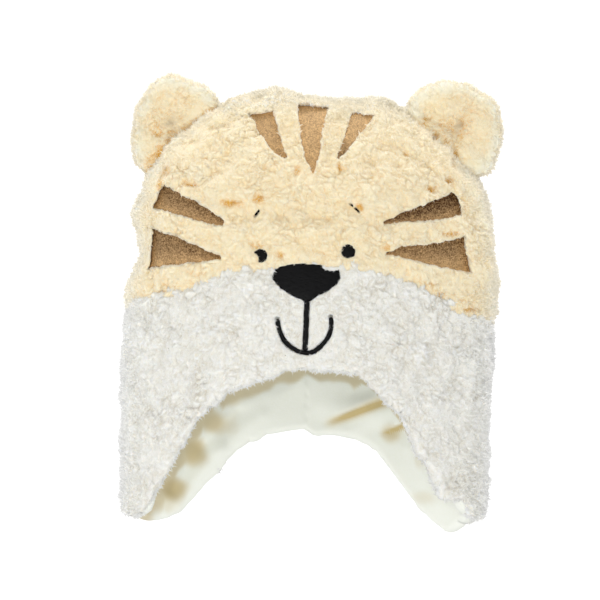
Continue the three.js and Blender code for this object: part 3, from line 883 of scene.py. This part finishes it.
def lining_shade(flat):
    """How warm the light is that comes back from the back's lining: most close under the
    front's edge, by the distance to it, and in the pockets of the flaps."""
    x, z = flat[:, 0], flat[:, 2]
    arch = np.concatenate((FRONT_EDGE[:0:-1, :2] * (-1, 1), FRONT_EDGE[:, ::2]))
    under = distance_to_line(x, z, arch) * np.where(z > height_of(FRONT_EDGE, x), 0, 1)
    width = np.interp(x, SHADE_WIDTH[:, 0], SHADE_WIDTH[:, 1])
    uneven = drift(flat, 8, 79)[:, 0] + 0.2 * drift(flat, 3.5, 89)[:, 0]
    shade = EDGE_SHADE * (1 - ease((under / width - 0.7 + 0.25 * uneven) / 0.5))
    shade *= 1 - ease((z - height_of(FRONT_EDGE, x)) / EDGE_SHADE_FADE)
    for at_x, at_z, wide, high, strength in POCKETS:
        away = ((x - at_x) / wide) ** 2 + ((z - at_z) / high) ** 2
        pocket = POCKET_SHADE * strength * bell(away * (1 + 0.5 * uneven))
        shade = np.maximum(shade, pocket)
    return shade


def back_lining_relief(flat, height):
    """The back's lining with its pleats and folds on it and the groove of its seam, which
    is deeper and shallower by turns down its length. Returns the height and the shade."""
    x, z = flat[:, 0], flat[:, 2]
    shade = lining_shade(flat)
    for pleat in PLEATS:
        folded, dim = pleat_at(x, z, pleat)
        height = height + folded
        shade = np.maximum(shade, dim)
    for ax, az, bx, bz, tall, wide in LINING_FOLDS:
        away = distance_to_line(x, z, ((ax, az), (bx, bz)))
        height = height + tall * bell(away / wide)
    pucker = 0.6 + 0.4 * np.sin(z * 0.9 + 0.6 * np.sin(z * 0.37))
    height = height - SEAM_DEPTH * pucker * bell((x - LINING_SEAM_X) / SEAM_REACH)
    return height, shade


def build_lining(material):
    """Smooth lining inside the front and the back: the inner skin with a turned lower
    edge, displaced by slow unevenness and, on the back, by its folds and the groove where
    its two halves are sewn. It is cut at the seam."""
    front_angles = even_angles(math.pi, 2 * math.pi, 130)
    back_angles = even_angles(0, math.pi, 210)
    for edge, angles, side, skin_rows, label in (
        (FRONT_EDGE, front_angles, -1, 80, "front"),
        (BACK_EDGE, back_angles, 1, 150, "back"),
    ):
        points, normals, past = shell_grid(
            edge, angles, side, LINING_INSET, -LINING_ROLL, skin_rows, 1, lining_lift)
        points[:, (0, -1), 1] -= side * LINING_OVERLAP
        rows, columns = points.shape[:2]
        flat = points.reshape(-1, 3)
        height = 0.9 * drift(flat, 22, 61)[:, 0] + 0.3 * drift(flat, 9, 67)[:, 0]
        shade = np.zeros(len(flat))
        if side > 0:
            height, shade = back_lining_relief(flat, height)
        height *= np.repeat(1 - 0.55 * past, columns)
        height[:columns] = 0
        displaced = flat + normals.reshape(-1, 3) * height[:, None]
        quads = grid_quads(rows, columns)[:, ::-1]
        left = flat[quads[:, 0], 0] < LINING_SEAM_X
        for name, kept in (("lining_left", left), ("lining_right", ~left)):
            add_piece(name + "_" + label, displaced, quads[kept], {"shade": shade},
                      material, name)


# Embroidery

FILL_PITCH = 0.9  # of the brown threads
FILL_LENGTH = 1.6  # of a brown stitch
SATIN_PITCH = 0.8
SATIN_LENGTH = 9
GRID_STEP = 0.55
GRID_EDGE = 1.6  # how far the grid of a patch reaches beyond its outline
CELL_START = 500  # first number of a patch's rows and stitches, so that none is below 0
CORD_STEP = 0.25
CORD_TWIST = 0.9  # from one slanting thread of a cord to the next
FOREHEAD_END = -38.0  # the forehead's stripes end above this height, and the cheeks' lie below


def spread_axis(outline):
    """Direction of an outline's greatest spread, and the one square to it: the first
    singular vector of its corners about their mean."""
    corners = np.array(outline) - np.mean(outline, axis=0)
    along = np.linalg.svd(corners)[2][0]
    return along, np.array((-along[1], along[0]))


def share_down(x, z, outline):
    """How far down from an outline's upper to its lower edge each point lies, 0 to 1."""
    closed = list(outline) + [outline[0]]
    top = np.full(x.shape, -1e9)
    bottom = np.full(x.shape, 1e9)
    for (ax, az), (bx, bz) in zip(closed[:-1], closed[1:]):
        if ax != bx:
            part = (x - ax) / (bx - ax)
            height = np.where((part >= 0) & (part <= 1), az + part * (bz - az), np.nan)
            top = np.fmax(top, height)
            bottom = np.fmin(bottom, height)
    return np.clip((top - z) / np.maximum(top - bottom, 0.5), 0, 1)


def facing_front(points, quads):
    """The same quads, turned over if most of them look away from the front: the cross
    product of two sides of each shows which way it looks."""
    corner = points[quads]
    facing = np.cross(corner[:, 1] - corner[:, 0], corner[:, 2] - corner[:, 1])[:, 1]
    return quads[:, ::-1] if np.median(facing) > 0 else quads


def stitched_patch(outline, depth, pitch, length, dome):
    """A patch of fill stitches on the face's form: a grid along and across the patch,
    kept inside its outline, with its rim drawn onto it. The height is a row of rounded
    threads `pitch` apart, dipped where each stitch of a row ends, over a low dome."""
    along, across = spread_axis(outline)
    middle = np.mean(outline, axis=0)
    local = (np.array(outline) - middle) @ np.stack((along, across), axis=1)
    low, high = local.min(axis=0) - 1, local.max(axis=0) + 1
    u = np.arange(low[0], high[0], GRID_STEP)
    v = np.arange(low[1], high[1], pitch / 3)
    uu, vv = np.meshgrid(u, v, indexing="ij")
    x = middle[0] + uu * along[0] + vv * across[0]
    z = middle[1] + uu * along[1] + vv * across[1]
    inside = inside_by(x, z, outline)
    step = 0.05
    slope_x = (inside_by(x + step, z, outline) - inside_by(x - step, z, outline)) / (2 * step)
    slope_z = (inside_by(x, z + step, outline) - inside_by(x, z - step, outline)) / (2 * step)
    beyond = np.where((inside < -RIM) & (inside > -GRID_EDGE), inside + RIM, 0)
    x, z = x - beyond * slope_x, z - beyond * slope_z
    row = np.floor(vv / pitch)
    row_cells = row.ravel() + CELL_START
    row_numbers = scatter(np.stack((row_cells, 0 * row_cells, 0 * row_cells), axis=1), 71)
    place = uu / length + row_numbers[:, 0].reshape(row.shape)
    stitch_cells = np.floor(place).ravel() + CELL_START
    stitch = scatter(np.stack((row_cells, stitch_cells, 0 * row_cells), axis=1), 73)
    across_thread = np.abs(vv / pitch - row - 0.5) * 2
    end_dip = bell((np.abs(place - np.floor(place) - 0.5) - 0.5) / 0.12)
    thread = np.sqrt(np.clip(1 - across_thread**2, 0, 1)) * (1 - 0.7 * end_dip)
    relief = 0.4 * pitch * thread + dome * np.sqrt(np.clip(inside / 4, 0, 1))
    edge_drop = 0.5 * ease(-inside / RIM)
    y = front_y(x, z, depth(z)) - relief + edge_drop
    points = np.stack((x, y, z), axis=-1).reshape(-1, 3)
    quads = grid_quads(len(u), len(v))
    corners_in = inside.reshape(-1)[quads]
    kept = (corners_in > -GRID_EDGE).all(axis=1) & (corners_in > -RIM).any(axis=1)
    # Painted light and shade: lighter along each thread's crown and darker in its dips, and a
    # random tone for each stitch.
    tone = 0.25 * thread.ravel() + 0.25 * stitch[:, 0]
    return points, facing_front(points, quads[kept]), tone


def cord(path, width, depth):
    """A satin-stitched cord: a half-round profile carried along a smoothed path on the
    face's form, narrowing at its ends, with slanting threads."""
    path = np.array(path, float)
    run = np.concatenate(([0], np.cumsum(np.linalg.norm(np.diff(path, axis=0), axis=1))))
    fine = np.arange(0, run[-1], CORD_STEP)
    even = np.stack([np.interp(fine, run, path[:, axis]) for axis in range(2)], axis=1)
    blur = bell(np.linspace(-2, 2, 17))
    blur /= blur.sum()
    held = np.pad(even, ((8, 8), (0, 0)), mode="edge")
    smooth = np.stack([np.convolve(column, blur, mode="valid") for column in held.T], axis=1)
    way = np.gradient(smooth, axis=0)
    way /= np.linalg.norm(way, axis=1, keepdims=True)
    square = np.stack((way[:, 1], -way[:, 0]), axis=1)
    to_end = np.minimum(fine, fine[-1] - fine)
    taper = np.sqrt(np.clip(to_end / (0.6 * width) + 0.15, 0, 1))
    across = np.linspace(-1, 1, 11)
    slant = np.sin(2 * math.pi * (fine[:, None] / CORD_TWIST + 0.35 * across[None, :]))
    radius = width / 2 * taper[:, None] * (1 + 0.09 * slant)
    x = smooth[:, :1] + square[:, :1] * across * radius
    z = smooth[:, 1:] + square[:, 1:] * across * radius
    rise = np.sqrt(np.clip(1 - across**2, 0, 1)) * (0.85 + 0.1 * slant)
    rise = rise * np.minimum(width / 2, 1.3)
    # Its two rims lie 0.8 deeper, in the pile.
    y = front_y(x, z, depth) - rise * taper[:, None] + 0.8 * (np.abs(across) > 0.99)
    points = np.stack((x, y, z), axis=-1).reshape(-1, 3)
    quads = grid_quads(len(fine), len(across))
    # Its tone, lighter and darker along the slanting threads, is painted light and shade.
    return points, facing_front(points, quads), (0.5 + 0.4 * slant).ravel()


def joined(parts):
    """Several sets of points, quads and tones as one."""
    points = np.concatenate([part[0] for part in parts])
    starts = np.cumsum([0] + [len(part[0]) for part in parts[:-1]])
    quads = np.concatenate([part[1] + start for part, start in zip(parts, starts)])
    return points, quads, np.concatenate([part[2] for part in parts])


def black_depth(z):
    """The black stitches lie equally deep all over."""
    return BLACK_DEPTH + 0 * z


def circle(centre, radius):
    """Corners of a circle, as an outline: centre plus radius times cosine and sine."""
    turn = np.linspace(0, 2 * math.pi, 28, endpoint=False)
    return [(centre[0] + radius * math.cos(a), centre[1] + radius * math.sin(a)) for a in turn]


def painted_stripe_light(name, x, z):
    """How much paler a brown stripe is painted than its stitches alone, as painted light and
    shade: evenly on the forehead, and on the cheeks by the square of the share of the way
    down it, so that their upper edges carry painted shade. The tip of one forehead stripe and
    the whole of one cheek stripe are painted in more shade."""
    tip_shade = 0.35 * (name == "forehead_stripe_right") * ease(-(z + 10) / 12)
    cheek = 0.48 * share_down(x, z, STRIPES[name]) ** 2
    cheek = cheek - 0.2 * (name == "cheek_stripe_upper_right")
    return np.where(z > FOREHEAD_END, 0.42 - tip_shade, cheek - 0.02)


def build_embroidery(brown, black):
    """Brown stripes in fill stitch, and black eyes, brows, nose and mouth in satin stitch."""
    for name, outline in STRIPES.items():
        points, quads, tone = stitched_patch(outline, brown_depth, FILL_PITCH, FILL_LENGTH, 0.2)
        tone = tone + painted_stripe_light(name, points[:, 0], points[:, 2])
        add_piece(name + "_stitches", points, quads, {"thread": tone},
                  brown, name)
    nose = stitched_patch(NOSE, black_depth, SATIN_PITCH, SATIN_LENGTH, 0.9)
    black_parts = {"nose": [nose]}
    for name, centre in EYES.items():
        outline = circle(centre, EYE_RADIUS + 0.2)
        eye = stitched_patch(outline, black_depth, SATIN_PITCH, SATIN_LENGTH, 1.0)
        black_parts[name] = [eye]
    for name, stroke in BROWS.items():
        black_parts[name] = [cord(stroke, BROW_WIDTH, BLACK_DEPTH + 1)]
    mouth = ((LIP, LIP_WIDTH), (SMILE, SMILE_WIDTH))
    black_parts["mouth"] = [cord(stroke, width, BLACK_DEPTH) for stroke, width in mouth]
    for name, parts in black_parts.items():
        points, quads, tone = joined(parts)
        add_piece(name + "_stitches", points, quads, {"thread": tone},
                  black, name)


# Materials

def linear(colour):
    """An sRGB hex colour as linear red, green, blue and alpha."""
    channels = [int(colour[at : at + 2], 16) / 255 for at in (1, 3, 5)]
    return [c / 12.92 if c <= 0.04045 else ((c + 0.055) / 1.055) ** 2.4 for c in channels] + [1.0]


def add_node(tree, kind, settings=None, links=None):
    """Adds a node, sets its properties and inputs, and links its inputs from outputs."""
    node = tree.nodes.new(kind)
    for key, value in (settings or {}).items():
        if isinstance(key, str) and hasattr(node, key):
            setattr(node, key, value)
        else:
            node.inputs[key].default_value = value
    for key, output in (links or {}).items():
        tree.links.new(output, node.inputs[key])
    return node


def new_material(name):
    """An empty node material, and its tree of nodes."""
    material = bpy.data.materials.new(name)
    material.use_nodes = True
    material.node_tree.nodes.clear()
    return material, material.node_tree


def sherpa_material(name, tip, crevice, fold_shade, rim):
    """Polyester sherpa fleece, knitted, brushed and tumbled into curls: matt, paler at the
    tips, and richer between the curls, where light goes through the fibres many times: that
    is painted shade. Painted light makes it paler along its outline and the top seam."""
    material, tree = new_material(name)
    place = add_node(tree, "ShaderNodeTexCoord")
    depth = add_node(tree, "ShaderNodeAttribute", {"attribute_name": "painted_pile_shade"})
    folded = add_node(tree, "ShaderNodeAttribute", {"attribute_name": "fold_shade"})
    # Fibres are 0.02 mm thick; here they are drawn about 0.75 mm wide, to show at all.
    fibre = add_node(
        tree, "ShaderNodeTexNoise",
        {"Scale": 1 / (0.75 * MM), "Detail": 3.0, "Roughness": 0.6},
        {"Vector": place.outputs["Object"]},
    )
    patch = add_node(
        tree, "ShaderNodeTexNoise",
        {"Scale": 1 / (13 * MM), "Detail": 2.0},
        {"Vector": place.outputs["Object"]},
    )
    speckled = add_node(
        tree, "ShaderNodeMath", {"operation": "MULTIPLY_ADD", 1: 1.7, 2: -0.85},
        {0: fibre.outputs["Fac"]},
    )
    mottled = add_node(
        tree, "ShaderNodeMath", {"operation": "MULTIPLY_ADD", 1: 0.5},
        {0: patch.outputs["Fac"], 2: speckled.outputs[0]},
    )
    shaded = add_node(
        tree, "ShaderNodeMath", {"operation": "ADD"},
        {0: depth.outputs["Fac"], 1: mottled.outputs[0]},
    )
    level = add_node(
        tree, "ShaderNodeMapRange", {"From Min": 0.1, "From Max": 1.0},
        {"Value": shaded.outputs[0]},
    )
    colour = add_node(
        tree, "ShaderNodeMix", {"data_type": "RGBA", 6: linear(tip), 7: linear(crevice)},
        {0: level.outputs["Result"]},
    )
    # Painted warm shade of dents and creases gathers between the curls and fades on their tips.
    gathered = add_node(
        tree, "ShaderNodeMath", {"operation": "MULTIPLY_ADD", 1: 0.55},
        {0: shaded.outputs[0], 2: folded.outputs["Fac"]},
    )
    deep = add_node(
        tree, "ShaderNodeMapRange", {"From Min": 0.5, "From Max": 1.25},
        {"Value": gathered.outputs[0]},
    )
    final = add_node(
        tree, "ShaderNodeMix", {"data_type": "RGBA", 7: linear(fold_shade)},
        {0: deep.outputs["Result"], 6: colour.outputs[2]},
    )
    # Painted light: paler along the outline and the top seam.
    painted_light = add_node(tree, "ShaderNodeAttribute", {"attribute_name": "painted_light"})
    final = add_node(
        tree, "ShaderNodeMix", {"data_type": "RGBA", 7: linear(rim)},
        {0: painted_light.outputs["Fac"], 6: final.outputs[2]},
    )
    bump = add_node(
        tree, "ShaderNodeBump", {"Strength": 0.8, "Distance": 0.5 * MM},
        {"Height": fibre.outputs["Fac"]},
    )
    shader = add_node(
        tree, "ShaderNodeBsdfPrincipled",
        {"Roughness": 0.95, "Specular IOR Level": 0.05, "Sheen Weight": 0.3,
         "Sheen Roughness": 0.5, "Subsurface Weight": 1.0,
         "Subsurface Radius": (1.0, 0.95, 0.85), "Subsurface Scale": 1.4 * MM},
        {"Base Color": final.outputs[2], "Normal": bump.outputs["Normal"]},
    )
    add_node(tree, "ShaderNodeOutputMaterial", links={"Surface": shader.outputs[0]})
    return material


def fuzz_material_of(name, colour, rim):
    """Single polyester fibres, drawn and crimped: matt, and as much light goes through as
    comes back, so they stay bright along the outline."""
    material, tree = new_material(name)
    # Painted light: the fibres are painted paler towards the outline.
    painted_light = add_node(tree, "ShaderNodeAttribute", {"attribute_name": "painted_light"})
    tint = add_node(
        tree, "ShaderNodeMix", {"data_type": "RGBA", 6: linear(colour), 7: linear(rim)},
        {0: painted_light.outputs["Fac"]},
    )
    back = add_node(tree, "ShaderNodeBsdfDiffuse", links={"Color": tint.outputs[2]})
    through = add_node(tree, "ShaderNodeBsdfTranslucent", links={"Color": tint.outputs[2]})
    both = add_node(
        tree, "ShaderNodeMixShader", {0: 0.5}, {1: back.outputs[0], 2: through.outputs[0]},
    )
    add_node(tree, "ShaderNodeOutputMaterial", links={"Surface": both.outputs[0]})
    return material


def thread_material(name, low, high, roughness, speckle):
    """Rayon embroidery thread, laid in rows by machine: each stitch is painted lighter along
    its crown and darker where it dips, as painted light and shade, and stitches differ in tone."""
    material, tree = new_material(name)
    thread = add_node(tree, "ShaderNodeAttribute", {"attribute_name": "thread"})
    place = add_node(tree, "ShaderNodeTexCoord")
    # Thread is 0.4 mm thick; its painted glints are drawn about 0.7 mm wide, to show at all.
    glint = add_node(
        tree, "ShaderNodeTexNoise", {"Scale": 1 / (0.7 * MM), "Detail": 2.0},
        {"Vector": place.outputs["Object"]},
    )
    tone = add_node(
        tree, "ShaderNodeMath", {"operation": "MULTIPLY_ADD", 1: speckle},
        {0: glint.outputs["Fac"], 2: thread.outputs["Fac"]},
    )
    level = add_node(
        tree, "ShaderNodeMapRange", {"From Min": 0.5 * speckle, "From Max": 1 + 0.5 * speckle},
        {"Value": tone.outputs[0]},
    )
    colour = add_node(
        tree, "ShaderNodeMix", {"data_type": "RGBA", 6: linear(low), 7: linear(high)},
        {0: level.outputs["Result"]},
    )
    shader = add_node(
        tree, "ShaderNodeBsdfPrincipled",
        {"Roughness": roughness, "Specular IOR Level": 0.12, "Sheen Weight": 0.0},
        {"Base Color": colour.outputs[2]},
    )
    add_node(tree, "ShaderNodeOutputMaterial", links={"Surface": shader.outputs[0]})
    return material


def lining_material():
    """Polyester microfleece, knitted, brushed and sheared short: matt and smooth, with a
    faint nap that softens the light on its folds."""
    material, tree = new_material("lining_microfleece")
    place = add_node(tree, "ShaderNodeTexCoord")
    nap = add_node(
        tree, "ShaderNodeTexNoise", {"Scale": 1 / (1.2 * MM), "Detail": 3.0},
        {"Vector": place.outputs["Object"]},
    )
    shade = add_node(tree, "ShaderNodeAttribute", {"attribute_name": "shade"})
    plain = add_node(
        tree, "ShaderNodeMix", {"data_type": "RGBA", 6: linear("#f8faf4"), 7: linear("#f4f6ea")},
        {0: nap.outputs["Fac"]},
    )
    # Painted warm shade: light that has gone through the cloth many times comes back warm in the
    # folds, and this colour is painted there.
    colour = add_node(
        tree, "ShaderNodeMix", {"data_type": "RGBA", 7: linear("#cdba88")},
        {0: shade.outputs["Fac"], 6: plain.outputs[2]},
    )
    bump = add_node(
        tree, "ShaderNodeBump", {"Strength": 0.25, "Distance": 0.3 * MM},
        {"Height": nap.outputs["Fac"]},
    )
    shader = add_node(
        tree, "ShaderNodeBsdfPrincipled",
        {"Roughness": 0.9, "Specular IOR Level": 0.2, "Sheen Weight": 0.2, "Sheen Roughness": 0.5},
        {"Base Color": colour.outputs[2], "Normal": bump.outputs["Normal"]},
    )
    add_node(tree, "ShaderNodeOutputMaterial", links={"Surface": shader.outputs[0]})
    return material


def paper_material():
    """White background paper, calendered: matt and even, so that only shade shows on it."""
    material, tree = new_material("white_paper")
    shader = add_node(
        tree, "ShaderNodeBsdfPrincipled", {"Base Color": linear("#f8f8f8"), "Roughness": 0.9},
    )
    add_node(tree, "ShaderNodeOutputMaterial", links={"Surface": shader.outputs[0]})
    return material


materials = {
    "cream_fuzz": fuzz_material_of("cream_fibres", "#fcf5e3", "#fffdf6"),
    "white_fuzz": fuzz_material_of("white_fibres", "#f8f8f5", "#fdfdfd"),
    "lining": lining_material(),
    "brown": thread_material("brown_thread", "#3d2006", "#dfb884", 0.6, 1.25),
    "black": thread_material("black_thread", "#010101", "#111113", 0.5, 1.2),
    "cream": sherpa_material("cream_sherpa_fleece", "#f8ecd1", "#f4e1ba", "#e0b04c", "#fffcf2"),
    "white": sherpa_material("white_sherpa_fleece", "#f4f4f0", "#e3dfd4", "#d9cbb4", "#fbfbfa"),
}

build_panels(materials)
for ear in EARS:
    build_ear(ear, materials["cream"], materials["cream_fuzz"])
build_lining(materials["lining"])
build_embroidery(materials["brown"], materials["black"])


# Setting

PIXEL = 0.6  # millimetres that one pixel of the 600-pixel frame covers at the hat
VIEW_CENTRE = (-4.7, -108.9)  # x and z in the middle of the frame
VIEW_ROLL = 2.2  # degrees by which the hat lies turned in the frame
CAMERA_AWAY = 3.5
FLOOR = -4.2  # height of the floor and, below, distance of the wall, in metres
WALL = 5.2

# Lights: name, place, target and size in metres, power in watts
LIGHTS = (
    ("key", (-1.1, -1.9, 1.6), (0, 0, -0.1), 0.8, 5.5),
    ("front", (-0.25, -3.2, 0.1), (0, 0, -0.1), 0.14, 11),
    ("low_fill", (-0.25, -1.4, -0.8), (0, 0, -0.18), 0.6, 7.8),
    ("side_fill", (1.5, -1.7, 0.1), (0, 0, -0.1), 0.5, 2.5),
    ("left_rim", (-1.8, 0.7, 0.2), (0, 0, -0.1), 1.0, 9),
    ("right_rim", (1.8, 0.7, 0.2), (0, 0, -0.1), 1.0, 9),
    ("top", (0, 0.3, 1.7), (0, 0, -0.02), 1.0, 19),
    ("wall_light", (0, 3.8, -0.1), (0, WALL, -0.1), 1.0, 20),
)
WORLD_LIGHT = 0.585


def build_stage():
    """Pale floor that sweeps up into a wall behind, one smooth sheet: level, then a
    quarter circle of radius 1 m, then upright."""
    run = np.linspace(0, 1, 60)
    bend = np.clip((run - 0.4) / 0.2, 0, 1) * math.pi / 2
    y = np.where(run < 0.4, WALL - 1 - 10 * (1 - run / 0.4), WALL - 1 + np.sin(bend))
    z = FLOOR + (1 - np.cos(bend)) + np.maximum(0, run - 0.6) / 0.4 * 7
    x = np.array((-6.0, 6.0))
    points = np.stack(np.broadcast_arrays(x[None, :], y[:, None], z[:, None]), axis=-1)
    floor = add_mesh("floor", points.reshape(-1, 3) / MM, grid_quads(60, 2)[:, ::-1])
    floor.data.materials.append(paper_material())


def add_light(name, place, target, size, power):
    """A soft square light at a place, facing a target."""
    data = bpy.data.lights.new(name, "AREA")
    data.size = size
    data.energy = power
    light = bpy.data.objects.new(name, data)
    light.location = place
    towards = Vector(target) - Vector(place)
    light.rotation_euler = towards.to_track_quat("-Z", "Y").to_euler()
    bpy.context.scene.collection.objects.link(light)


build_stage()
for light in LIGHTS:
    add_light(*light)
world = bpy.data.worlds.new("studio")
world.use_nodes = True
background = world.node_tree.nodes["Background"]
background.inputs["Color"].default_value = (1, 1, 1, 1)
background.inputs["Strength"].default_value = WORLD_LIGHT
bpy.context.scene.world = world
bpy.context.scene.view_settings.view_transform = "Standard"

camera_data = bpy.data.cameras.new("camera")
camera_data.sensor_width = 36.0
camera_data.lens = 36.0 * CAMERA_AWAY / (600 * PIXEL * MM)
camera_data.clip_end = 50
camera = bpy.data.objects.new("camera", camera_data)
camera.matrix_world = (
    Matrix.Translation((VIEW_CENTRE[0] * MM, -CAMERA_AWAY, VIEW_CENTRE[1] * MM))
    @ Matrix.Rotation(math.pi / 2, 4, "X")
    @ Matrix.Rotation(math.radians(VIEW_ROLL), 4, "Z")
)
bpy.context.scene.collection.objects.link(camera)
bpy.context.scene.camera = camera
